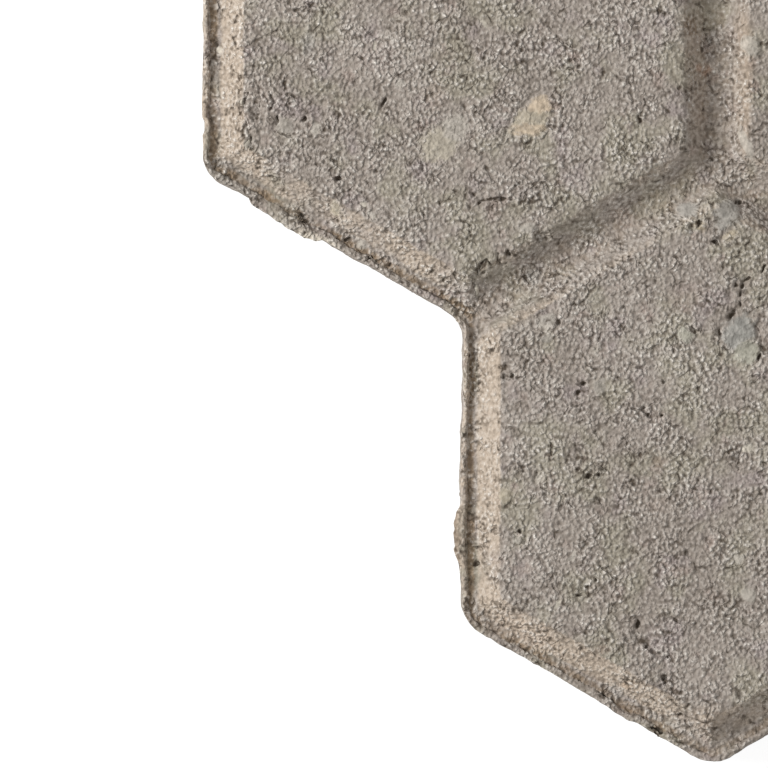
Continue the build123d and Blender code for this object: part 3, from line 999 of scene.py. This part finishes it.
# Studio: white floor, a low soft lamp from the left, even light all round
studio = {
    "lampTurn": 169,  # degrees from +X, seen from above
    "lampHeight": 30,  # degrees above the horizon
    "lampAway": 1.6,
    "lampTarget": (0, -0.01),
    "lampSize": 0.7,
    "lampPower": 24,
    "skyStrength": 0.66,
    "floorSize": 40,
    "floorTone": 0.8,  # as the stone sees the floor
    "shadowTone": 0.3,  # as the camera sees it, with the glow added
    "floorGlow": 0.86,
}

view = {
    "middle": Vector((-64.75 * mm, -41.67 * mm)),  # where the camera points
    "width": 149.6 * mm,  # what the photo's width covers, at the wear face
    "lens": 1000,
    "sensor": 36,
}


def seenDirectly(tree):
    # 1 for what the camera sees, straight or in a gloss
    path = addNode(tree, "ShaderNodeLightPath")
    seen = math(tree, "MAXIMUM", path.outputs["Is Camera Ray"], path.outputs["Is Glossy Ray"])
    return math(tree, "MAXIMUM", seen, path.outputs["Is Transmission Ray"])


def makeFloor():
    bpy.ops.mesh.primitive_plane_add(size=studio["floorSize"])
    floor = context.object
    floor.name = "floor"
    material = bpy.data.materials.new("paleFloor")
    material.use_nodes = True
    tree = material.node_tree
    tree.nodes.clear()
    matt, faint = [addNode(tree, "ShaderNodeBsdfDiffuse", {"Color": (*[studio[tone]] * 3, 1)})
                   for tone in ("floorTone", "shadowTone")]
    glow = addNode(tree, "ShaderNodeEmission", {"Strength": studio["floorGlow"]})
    bright = addNode(tree, "ShaderNodeAddShader", {0: faint.outputs[0], 1: glow.outputs[0]})
    shaders = {0: seenDirectly(tree), 1: matt.outputs[0], 2: bright.outputs[0]}
    mix = addNode(tree, "ShaderNodeMixShader", shaders)
    addNode(tree, "ShaderNodeOutputMaterial", {"Surface": mix.outputs[0]})
    floor.data.materials.append(material)


def makeLight():
    turn, height = radians(studio["lampTurn"]), radians(studio["lampHeight"])
    toward = Vector((cos(turn) * cos(height), sin(turn) * cos(height), sin(height)))
    target = Vector((*studio["lampTarget"], plan["top"] * mm))
    bpy.ops.object.light_add(type="AREA", location=target + toward * studio["lampAway"])
    lamp = context.object
    lamp.name = "windowLamp"
    lamp.rotation_euler = (-toward).to_track_quat("-Z", "Y").to_euler()
    lamp.data.shape = "DISK"
    lamp.data.size = studio["lampSize"]
    lamp.data.energy = studio["lampPower"]
    lamp.visible_camera = False
    world = bpy.data.worlds.new("evenLight")
    world.use_nodes = True
    context.scene.world = world
    tree = world.node_tree
    tree.nodes.clear()
    levels = {"Value": seenDirectly(tree), "To Min": studio["skyStrength"], "To Max": 1.0}
    strength = addNode(tree, "ShaderNodeMapRange", levels)
    sky = addNode(tree, "ShaderNodeBackground", {"Strength": strength.outputs[0]})
    addNode(tree, "ShaderNodeOutputWorld", {"Surface": sky.outputs[0]})


def makeCamera():
    distance = view["width"] * view["lens"] / view["sensor"]
    place = (view["middle"].x, view["middle"].y, plan["top"] * mm + distance)
    bpy.ops.object.camera_add(location=place, rotation=(0, 0, 0))
    camera = context.object
    camera.data.lens = view["lens"]
    camera.data.sensor_width = view["sensor"]
    camera.data.clip_end = 4 * distance
    context.scene.camera = camera


makeFloor()
makeLight()
makeCamera()
context.scene.view_settings.view_transform = "Standard"
print("studio ready")
